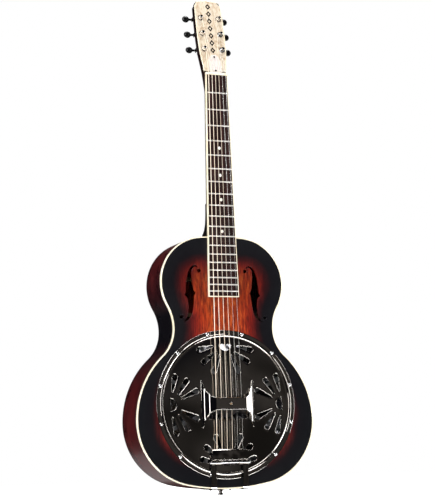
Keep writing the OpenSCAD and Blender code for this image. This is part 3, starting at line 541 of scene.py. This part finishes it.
def pearloid(name, pale, tan, grey):
    """Swirled pearloid: pale chips with warm streaks and shadows between them."""
    s = Shader(name)
    swirl = s.noise(s.stretch(70, 70, 45), detail=4, distortion=1.6)
    streak = s.noise(s.stretch(260, 260, 60), detail=3, distortion=0.8)
    bent = s.add("ShaderNodeMix", {"data_type": "VECTOR"})
    s.put(bent.inputs[0], 0.35)
    s.put(bent.inputs[4], s.stretch(1, 1, 0.6))
    s.put(bent.inputs[5], swirl)
    chips = s.cells(bent.outputs[1], 160, "SMOOTH_F1")
    body = s.ramp(s.span(swirl, 0.32, 0.68), [(0.0, tan), (0.4, pale), (0.75, pale), (1.0, grey)])
    body = s.mix(s.span(streak, 0.5, 0.66, 0.0, 0.7), body, tan)
    return s.finish(
        Base_Color=s.mix(s.span(chips, 0.15, 0.65, 0.0, 0.5), body, tan),
        Roughness=s.span(chips, 0.1, 0.7, 0.2, 0.34),
        Normal=s.bump(chips, 0.00002, 0.2),
        Coat_Weight=0.4, Coat_Roughness=0.05,
    )


def metal(name, colour, dull, roughness, smear):
    """Metal with faint smears that change its gloss."""
    s = Shader(name)
    cloud = s.noise(s.stretch(26, 26, 26), detail=4, distortion=0.5)
    grain = s.noise(s.stretch(700, 700, 700), detail=2)
    worn = s.calc("ADD", s.span(cloud, 0.3, 0.7, 0.0, smear), s.span(grain, 0.3, 0.7, 0.0, 1 - smear))
    return s.finish(
        Base_Color=s.mix(s.span(worn, 0.2, 0.9, 0.0, 0.5), colour, dull),
        Metallic=1.0,
        Roughness=s.span(worn, 0.0, 1.0, roughness * 0.6, roughness * 1.5),
        Normal=s.bump(grain, 0.000004, 0.3),
    )


def spun_metal():
    """The cone: fine rings left by the spinning tool."""
    s = Shader("spun_aluminium")
    centred = s.add("ShaderNodeMapping", Vector=s.place, Location=(0, 0, -BRIDGE_Z / 1000)).outputs[0]
    tool = s.rings(centred, 260, "Y")
    cloud = s.noise(s.stretch(30, 30, 30), detail=3)
    return s.finish(
        Base_Color=s.ramp(tool, [(0.0, srgb(116, 116, 120)), (1.0, srgb(152, 152, 156))]),
        Metallic=1.0,
        Roughness=s.span(cloud, 0.3, 0.7, 0.14, 0.24),
        Normal=s.bump(tool, 0.00006, 0.5),
    )


def wound_string():
    """Bronze wire wound round the core, with its turns as bump."""
    s = Shader("bronze_winding")
    turns = s.bands(s.place, 640, "Z")
    age = s.noise(s.stretch(300, 300, 25), detail=3)
    wire = s.ramp(s.span(age, 0.3, 0.7), [(0.0, srgb(236, 216, 190)), (1.0, srgb(250, 240, 224))])
    # The grooves between the turns are tinted a darker brown: painted shade.
    return s.finish(
        Base_Color=s.mix(s.span(turns, 0.0, 0.35, 0.35, 0.0), wire, srgb(160, 120, 84)),
        Metallic=0.15,
        Roughness=s.span(age, 0.3, 0.7, 0.3, 0.42),
        Normal=s.bump(turns, 0.0001, 0.6),
    )


def black_lacquer(name, roughness):
    s = Shader(name)
    cloud = s.noise(s.stretch(120, 120, 120), detail=3)
    marks = s.noise(s.stretch(1600, 1600, 1600), detail=2)
    return s.finish(
        Base_Color=s.ramp(s.span(cloud, 0.3, 0.7), [(0.0, srgb(7, 7, 8)), (1.0, srgb(15, 15, 16))]),
        Roughness=s.span(marks, 0.3, 0.7, roughness * 0.8, roughness * 1.2),
        Specular_IOR_Level=0.25,
        Normal=s.bump(marks, 0.000005, 0.2),
        Coat_Weight=0.1,
    )


finishes = {
    "sunburst_top": sunburst_top(),
    "dark_mahogany": dark_mahogany(),
    "ivory_plastic": plastic("ivory_plastic", srgb(226, 212, 182), srgb(246, 238, 216), 0.25),
    # The inside wood and the spruce braces keep their own wood colours, darkened further as painted shade
    # for the dim inside of the body.
    "inner_wood": raw_wood("inner_wood", srgb(44, 28, 20), srgb(74, 50, 34), (90, 90, 12)),
    "spruce": raw_wood("spruce", srgb(92, 70, 46), srgb(128, 104, 74), (20, 300, 300)),
    "spun_aluminium": spun_metal(),
    "cast_aluminium": metal("cast_aluminium", srgb(150, 151, 154), srgb(112, 113, 116), 0.42, 0.3),
    "maple": raw_wood("maple", srgb(172, 128, 84), srgb(222, 186, 140), (260, 160, 30)),
    "chrome_plate": metal("chrome_plate", srgb(190, 186, 182), srgb(160, 155, 150), 0.07, 0.8),
    "bright_steel": metal("bright_steel", srgb(210, 210, 212), srgb(170, 170, 172), 0.14, 0.5),
    "plain_steel": metal("plain_steel", srgb(170, 171, 174), srgb(128, 129, 132), 0.3, 0.4),
    "cover_plastic": pearloid(
        "cover_plastic", srgb(220, 215, 210), srgb(192, 178, 174), srgb(190, 190, 196),
    ),
    "rosewood": rosewood(),
    "fret_metal": metal("fret_metal", srgb(232, 227, 222), srgb(206, 200, 194), 0.34, 0.4),
    "pearl": pearloid("pearl", srgb(246, 244, 238), srgb(214, 206, 196), srgb(226, 230, 230)),
    "bone": plastic("bone", srgb(228, 216, 190), srgb(248, 242, 226), 0.3, 0.2),
    "pearloid": pearloid("pearloid", srgb(214, 203, 184), srgb(172, 150, 124), srgb(192, 187, 178)),
    "bronze_winding": wound_string(),
    "string_steel": metal("string_steel", srgb(226, 224, 220), srgb(190, 188, 184), 0.34, 0.3),
    "black_metal": black_lacquer("black_metal", 0.2),
    "black_button": black_lacquer("black_button", 0.12),
}


def dress(piece, material):
    piece.data.materials.clear()
    piece.data.materials.append(material)


def stand_in(piece, node, slot, body="guitar"):
    """The piece is shown in place of a CAD node."""
    dress(piece, finishes[slot])
    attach(piece, body)
    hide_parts(node)


# ---- CAD nodes ----
# How wide the edges of some nodes are rounded.
BEVELS = {
    "nut": 0.4, "saddles": 0.3, "tailpiece_bar": 0.5, "tailpiece_bracket": 0.5,
    "top_binding": 0.35, "fretboard_binding": 0.3, "headstock_binding": 0.3,
    "tuner_plates": 0.2,
}


def soften(piece, width):
    """Joins the CAD mesh's split vertices, rounds its edges and shades it smooth between them."""
    smooth = [True] * len(piece.data.polygons)
    if "custom_normal" in piece.data.attributes:
        piece.data.attributes.remove(piece.data.attributes["custom_normal"])
    piece.data.polygons.foreach_set("use_smooth", smooth)
    weld = piece.modifiers.new("weld", "WELD")
    weld.merge_threshold = 0.000002
    if width:
        flat = piece.modifiers.new("flat", "DECIMATE")
        flat.decimate_type = "DISSOLVE"
        flat.angle_limit = math.radians(0.6)
        bevel = piece.modifiers.new("bevel", "BEVEL")
        bevel.width = width / 1000
        bevel.segments = 2
        bevel.limit_method = "ANGLE"
        bevel.angle_limit = math.radians(38)
    split = piece.modifiers.new("split", "EDGE_SPLIT")
    split.split_angle = math.radians(32)


for part in frame["record"]["subparts"]:
    node = nodes[part["node"]]
    dress(node, finishes[part["material_slot"]])
    soften(node, BEVELS.get(part["node"], 0))
dress(nodes["neck"], neck_wood())


# ---- Top and back ----
def end_radius(c, h, r):
    """Radius of an arc round the body's end, tangent to a bout's arc of radius r centred at (c, h)."""
    return (c * c + h * h - r * r) / (2 * (h - r))


def waist_radius(a, h, r):
    """Radius of the waist's arc that meets a bout's arc of radius r, a across and h along from it."""
    return (a * a + h * h - r * r) / (2 * (r - a))


def body_outline(inset=0.0):
    """The body's outline as tangent arcs, counter-clockwise from the tail."""
    lower_c = (LOWER_HALF - LOWER_R, LOWER_Z)
    shoulder_c = (LOWER_HALF - SHOULDER_R, LOWER_Z)
    upper_c = (UPPER_HALF - UPPER_R, UPPER_Z)
    tail_r = end_radius(lower_c[0], LOWER_Z, LOWER_R)
    tail_c = (0, tail_r)
    top_r = end_radius(upper_c[0], BODY_TOP - UPPER_Z, UPPER_R)
    top_c = (0, BODY_TOP - top_r)
    low_r = waist_radius(WAIST_HALF - shoulder_c[0], WAIST_Z - LOWER_Z, SHOULDER_R)
    low_c = (WAIST_HALF + low_r, WAIST_Z)
    high_r = waist_radius(WAIST_HALF - upper_c[0], UPPER_Z - WAIST_Z, UPPER_R)
    high_c = (WAIST_HALF + high_r, WAIST_Z)
    tail_a = bearing(tail_c, lower_c)
    low_a = bearing(shoulder_c, low_c)
    high_a = bearing(high_c, upper_c)
    top_a = bearing(top_c, upper_c)
    half = (
        arc(tail_c, tail_r - inset, -90, tail_a, 14)
        + arc(lower_c, LOWER_R - inset, tail_a, 0, 44)
        + arc(shoulder_c, SHOULDER_R - inset, 0, low_a, 40)
        + arc(low_c, low_r + inset, low_a + 180, 180, 24)
        + arc(high_c, high_r + inset, 180, high_a, 18)
        + arc(upper_c, UPPER_R - inset, high_a - 180, top_a, 54)
        + arc(top_c, top_r - inset, top_a, 90, 10)
    )
    return half + [(0, BODY_TOP - inset)] + flipped(half[1:])


def f_holes():
    """Both sound holes: a long S with a notch midway and a round eye beyond each end."""
    inner = [
        (49.5, 257), (54, 261.4), (58, 260), (61.5, 255), (62.4, 246), (60.6, 230), (58.6, 215),
        (54.4, 211), (57.6, 206), (58, 198), (59.2, 186), (63, 170), (69, 160.5), (77, 155.8),
    ]
    outer = [
        (83, 157), (79, 158), (75, 162), (72, 170), (70.2, 184), (71.5, 196), (73.5, 203),
        (78.6, 206), (75, 212), (75, 224), (72.5, 241), (69, 253), (63.5, 260.5), (57, 264.5), (50, 262),
    ]
    loops = [rounded(inner + outer, 3), circle((47, 253.4), 3.8, 32), circle((85.5, 164.7), 3.8, 32)]
    loops = [[(x, y + BRIDGE_Z) for x, y in loop] for loop in loops]
    return loops + [flipped(loop) for loop in loops]


def burst(piece, outline, back=False):
    """Stores each vertex's distance to the body's edge. On the top it is made smaller at the neck's
    foot and the tail, and greater on the shoulders, so that the dark edge varies in width."""
    co = np.zeros(len(piece.data.vertices) * 3)
    piece.data.vertices.foreach_get("co", co)
    plan = co.reshape(-1, 3)[:, [0, 2]] * 1000
    away = distance_to(plan, outline)
    if not back:
        upper = np.clip((plan[:, 1] - (BODY_TOP - 110)) / 110, 0, 1)
        sideways = np.clip((np.abs(plan[:, 0]) - 40) / 60, 0, 1)
        tail = np.clip((BRIDGE_Z + 30 - plan[:, 1]) / 70, 0, 1)
        away = away - 16 * upper * (1 - sideways) + 4 * upper * sideways - 7 * tail
    layer = piece.data.attributes.new("burst", "FLOAT", "POINT")
    layer.data.foreach_set("value", (np.maximum(away, 0) / 1000).astype(np.float32))


edge = body_outline()
grid = hex_grid((-182, 0), (182, BODY_TOP), 5)
well = circle((0, BRIDGE_Z), WELL_R, 160)
top = plate("top_wood", body_outline(BINDING_W), f_holes() + [well], grid, face, TOP_T, 0.35)
burst(top, edge)
stand_in(top, "top_plate", "sunburst_top")


def on_back(x, z, h):
    """The back slopes: it is deeper at the tail. Heights run into the body."""
    depth = DEPTH_TAIL - (DEPTH_TAIL - DEPTH_NECK) * z / BODY_TOP
    return face(x, z, -depth - h)


back = plate("back_wood", edge, [], grid, on_back, BACK_T, 0.5)
back.data.flip_normals()
burst(back, edge, True)
stand_in(back, "back_plate", "dark_mahogany")
dress(back, back_burst())

# ---- Coverplate ----
def dome(r):
    """Height of the coverplate's face at a radius: dome, rolled bead, flange."""
    if r < DOME_R:
        return FLANGE_T + DOME_H * (1 - (r / DOME_R) ** 2)
    off = abs(r - BEAD_R) / BEAD_HALF
    return FLANGE_T + BEAD_H * math.sqrt(max(1 - off * off, 0))


def teardrop(a, b, ra, rb):
    """Outline from a narrow end at a to a round end at b."""
    turn = bearing(a, b)
    span = math.dist(a, b) - ra - rb
    lean = math.degrees(math.asin((rb - ra) / span))
    ca = polar(a, ra, turn)
    cb = polar(b, -rb, turn)
    return (
        arc(ca, ra, turn + 90 + lean, turn + 270 - lean, 10)
        + [polar(ca, ra, turn + 270 - lean)]
        + arc(cb, rb, turn - 90 - lean, turn + 90 + lean, 18)
        + [polar(cb, rb, turn + 90 + lean)]
    )


def turned(loop, angle):
    c, s = math.cos(math.radians(angle)), math.sin(math.radians(angle))
    return [(x * c - y * s, x * s + y * c) for x, y in loop]


def plate_windows():
    """In each quarter, six petals from their narrow ends to their round ends, and a half moon."""
    petals = [
        ((109.3, 23.4), (101.4, 57.3)),
        ((97.9, 18.2), (77.5, 48.7)),
        ((92.5, 11.1), (57, 27.1)),
    ]
    narrow_r, round_r = 1.6, 5.2
    moon_x, moon_r = 113, 12
    moon = arc((moon_x, 0), moon_r, 90, 270, 24) + [(moon_x, -moon_r)]
    loops = []
    for quarter in range(4):
        for a, b in petals:
            drop = teardrop(a, b, narrow_r, round_r)
            loops.append(turned(drop, 90 * quarter))
            loops.append(turned([(x, -y) for x, y in reversed(drop)], 90 * quarter))
        loops.append(turned(moon, 90 * quarter))
    return loops


def rectangle(x0, y0, x1, y1, corner):
    loop = []
    for cx, cy, start in ((x1, y0, -90), (x1, y1, 0), (x0, y1, 90), (x0, y0, 180)):
        centre = (cx - corner * (1 if cx == x1 else -1), cy - corner * (1 if cy == y1 else -1))
        loop += arc(centre, corner, start, start + 90, 6)
    return loop


def polar_grid():
    """Rings of points over the coverplate, closer together and in line near the bead."""
    step = 3.5
    in_line_from = 115
    radii = list(np.arange(4, DOME_R - 1, step)) + [DOME_R, 126.7]
    radii += [BEAD_R + BEAD_HALF * math.sin(math.radians(a)) for a in range(-90, 91, 15)]
    radii += [134, 136.5, 138.4]
    points = [(0, 0)]
    for k, r in enumerate(radii):
        in_line = r > in_line_from
        count = 360 if in_line else max(12, int(r * 2 * math.pi / step))
        offset = 0 if in_line else k % 2 / 2
        points += arc((0, 0), r, 360 * offset / count, 360 * (1 + offset / count), count)
    return points


saddle_opening = rectangle(-38, -28, 38, 12, 3)
pressing = plate(
    "coverplate_pressing", circle((0, 0), PLATE_R, 360), plate_windows() + [saddle_opening],
    polar_grid(), lambda x, y, h: bridge(x, y, dome(math.hypot(x, y)) + h), PRESSING_T, 0.7, 50,
)
stand_in(pressing, "coverplate", "chrome_plate")

# ---- Palm rest ----
def rest_line():
    """The strap's outer face on the treble side, from the centre to the foot's end, as (x, height)."""
    line = []
    for k, (point, bend) in enumerate(zip(REST_CORNERS, REST_BENDS)):
        if not bend:
            line.append(point)
            continue
        p = np.array(point, float)
        back_way = np.array(REST_CORNERS[k - 1], float) - p
        on_way = np.array(REST_CORNERS[k + 1], float) - p
        a = p + back_way / np.linalg.norm(back_way) * bend
        b = p + on_way / np.linalg.norm(on_way) * bend
        for t in np.linspace(0, 1, 9):
            line.append(tuple((1 - t) ** 2 * a + 2 * t * (1 - t) * p + t * t * b))
    return np.array(line)


rest = rest_line()
rest_run = np.concatenate([[0], np.cumsum(np.linalg.norm(np.diff(rest, axis=0), axis=1))])


def rest_at(s):
    """The place on the strap's outer face at a distance s along it from the centre."""
    return np.array([np.interp(s, rest_run, rest[:, 0]), np.interp(s, rest_run, rest[:, 1])])


def on_rest(s, y, h):
    """A point of the strap: s along it from the centre, y up the strings."""
    x, z = rest_at(abs(s))
    step = 0.4
    dx, dz = rest_at(abs(s) + step) - rest_at(abs(s) - step)
    size = math.hypot(dx, dz) or 1
    side = 1 if s >= 0 else -1
    return bridge(side * (x - dz / size * h), y, z + dx / size * h)


def rest_half_width(s):
    """Half the strap's width: a narrow neck that flares in a quarter ellipse to the feet."""
    x = rest_at(abs(s))[0]
    turn = min(max(x - REST_NECK_X, 0) / REST_FLARE_RUN, 1)
    return REST_FLARE_HALF - (REST_FLARE_HALF - REST_NECK_HALF) * math.sqrt(1 - turn * turn)


def rest_plan():
    half = [(s, rest_half_width(s)) for s in np.linspace(0.01, rest_run[-1], 46)]
    upper = flipped(half) + half
    return [(s, -w) for s, w in upper] + [(s, w) for s, w in reversed(upper)]


rest_grid = [
    (s, y)
    for s in np.arange(-rest_run[-1], rest_run[-1], 1.0)
    for y in np.arange(-REST_FLARE_HALF, REST_FLARE_HALF + 1, 2.0)
]
strap = plate(
    "palm_rest_strap", rest_plan(), [circle((0, 0), REST_HOLE_R, 32)],
    rest_grid, on_rest, REST_T - 0.4, 0.35, 50,
)
stand_in(strap, "palm_rest", "chrome_plate")

# ---- Tuner buttons ----
def button_sections(side, row):
    """Rings along the shaft: a round stem that swells into a coin-shaped button."""
    # Each station is a distance from the post, a half width and a half thickness.
    stations = [
        (9.6, 1.9, 1.9), (9.9, 2.25, 2.25), (12.2, 2.1, 2.1), (14.2, 2.3, 2.3), (15.2, 2.7, 2.5),
    ]
    least = 0.01
    fullness = 0.6
    for turn in np.radians(np.linspace(24, 180, 25)):
        swell = max(math.sin(turn), 0.0)
        x = BUTTON_X - BUTTON_R * math.cos(turn)
        stations.append((x, BUTTON_R * swell + least, BUTTON_HALF * swell ** fullness + least))
    count = 32
    squareness = 0.86
    axis_y = POST_LOW + POST_PITCH * row + WORM_Y
    rings = []
    for x, wide, thick in stations:
        ring = []
        for i in range(count):
            a = 2 * math.pi * i / count
            y = wide * math.copysign(abs(math.cos(a)) ** squareness, math.cos(a))
            z = thick * math.copysign(abs(math.sin(a)) ** squareness, math.sin(a))
            ring.append(head(side * (POST_X + x), axis_y + side * y, WORM_Z + z))
        rings.append(ring)
    return rings


for i in range(1, 7):
    side = 1 if i <= 3 else -1
    row = i - 1 if i <= 3 else 6 - i
    button = loft(f"button_{i}", button_sections(side, row), 60)
    stand_in(button, f"tuner_button_{i}", "black_button", f"tuner_key_{i}")

# ---- Headstock inlay and rod cover ----
def lozenge(y, half_w, half_h):
    return [(0, y - half_h), (half_w, y), (0, y + half_h), (-half_w, y)]


def on_head_face(lift):
    """A placing function for sheets whose face is lift above the headstock's face."""
    return lambda x, y, h: head(x, y, FACE_T + lift + h)


for k in range(7):
    y = INLAY_LOW + INLAY_PITCH * k
    inlay = plate(
        f"inlay_{k + 1}", lozenge(y, 5.3, 6.8), [lozenge(y, 2.2, 2.8)],
        [(90, 0)], on_head_face(0.04), 0.3,
    )
    dress(inlay, finishes["black_button"])
    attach(inlay, "guitar")


def cover_outline():
    """A bullet shape: upright sides and a round top."""
    crown = arc((0, 0), 1, 0, 180, 24) + [(-1, 0)]
    crown = [(COVER_HALF * x, COVER_TOP - COVER_CROWN + COVER_CROWN * y) for x, y in crown]
    return [(-COVER_HALF, COVER_LOW), (COVER_HALF, COVER_LOW)] + crown


rod_cover = plate(
    "rod_cover", cover_outline(), [], hex_grid((-12, 6), (12, 44), 3),
    on_head_face(COVER_T), COVER_T, 0.5,
)
stand_in(rod_cover, "truss_rod_cover", "cover_plastic")

# ---- Stage ----
def area_light(name, at, towards, width, height, power):
    light = bpy.data.lights.new(name, "AREA")
    light.shape = "RECTANGLE"
    light.size = width
    light.size_y = height
    light.energy = power
    lamp = bpy.data.objects.new(name, light)
    lamp.location = at
    lamp.visible_camera = False
    lamp.rotation_euler = (Vector(towards) - Vector(at)).to_track_quat("-Z", "Y").to_euler()
    collection.objects.link(lamp)


def make_floor():
    """A pale floor under the part that chrome doesn't mirror."""
    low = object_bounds()[0].z
    reach = 7.0
    corners = [(-reach, -reach, low), (reach, -reach, low), (reach, reach, low), (-reach, reach, low)]
    floor = add_mesh("floor", corners, [(0, 1, 2, 3)])
    s = Shader("floor")
    pale = [(0.0, srgb(238, 238, 238)), (1.0, srgb(246, 246, 246))]
    dress(floor, s.finish(
        Base_Color=s.ramp(s.noise(s.place, 0.6), pale),
        Roughness=0.9, Emission_Color=(1, 1, 1, 1), Emission_Strength=0.99,
    ))
    floor.visible_glossy = False


def make_world():
    """White where the camera sees it, and a dim room with soft shapes for reflections and fill."""
    world = bpy.data.worlds.new("studio")
    bpy.context.scene.world = world
    w = Tree(world)
    way = w.add("ShaderNodeTexCoord").outputs["Generated"]
    axes = w.add("ShaderNodeSeparateXYZ", Vector=way).outputs
    slant = w.calc("ADD", w.calc("MULTIPLY", axes["X"], -0.55), w.calc("ADD", axes["Z"], 0.2))
    shade = w.ramp(slant, [(0.08, (0.05, 0.046, 0.042, 1)), (0.26, (0.006, 0.006, 0.008, 1))])
    strength = w.span(w.noise(way, 6.0, detail=1.0), 0.4, 0.6, 0.3, 1.3)
    fill = w.add("ShaderNodeBackground", Color=shade, Strength=strength)
    seen = w.add("ShaderNodeBackground", Color=(1, 1, 1, 1))
    mix = w.add("ShaderNodeMixShader", Fac=w.add("ShaderNodeLightPath").outputs["Is Camera Ray"])
    w.put(mix.inputs[1], fill.outputs[0])
    w.put(mix.inputs[2], seen.outputs[0])
    w.add("ShaderNodeOutputWorld", Surface=mix.outputs[0])


def make_camera():
    """The photo's camera, low and to the bass side of the guitar."""
    azimuth = math.radians(-21.91)
    elevation = math.radians(-8.55)
    roll = -0.0332
    distance = 2.8619
    target = Vector((-0.0078, FRONT / 1000, 0.4564))
    behind = Vector((
        math.sin(azimuth) * math.cos(elevation),
        -math.cos(azimuth) * math.cos(elevation),
        math.sin(elevation),
    ))
    right = (-behind).cross(Vector((0, 0, 1))).normalized()
    up = right.cross(-behind)
    right, up = (
        math.cos(roll) * right + math.sin(roll) * up,
        math.cos(roll) * up - math.sin(roll) * right,
    )
    pose = Matrix((right, up, behind)).transposed().to_4x4()
    pose.translation = target + behind * distance
    data = bpy.data.cameras.new("camera")
    data.sensor_width = 36
    data.lens = 108.8
    camera = bpy.data.objects.new("camera", data)
    camera.matrix_world = pose
    collection.objects.link(camera)
    bpy.context.scene.camera = camera


bpy.context.scene.view_settings.view_transform = "Standard"
make_camera()
make_world()
make_floor()
middle = (0, 0, 0.45)
area_light("key", (-1.7, -2.6, 2.3), middle, 1.6, 1.6, 92)
area_light("left_strip", (-2.8, -1.1, 0.8), middle, 0.6, 2.2, 32)
area_light("right_strip", (2.55, -0.5, 0.56), middle, 0.8, 2.0, 34)
area_light("overhead", (0, -0.5, 3.0), middle, 2.2, 1.0, 60)
area_light("low_card", (0.33, -0.88, -0.72), (0, 0, 0.03), 1.4, 0.46, 27)
area_light("low_back", (-0.45, 1.9, -0.8), (0, 0, 0.1), 1.8, 0.7, 1.7)
area_light("behind", (0.6, 2.0, 3.2), middle, 2.0, 1.2, 70)
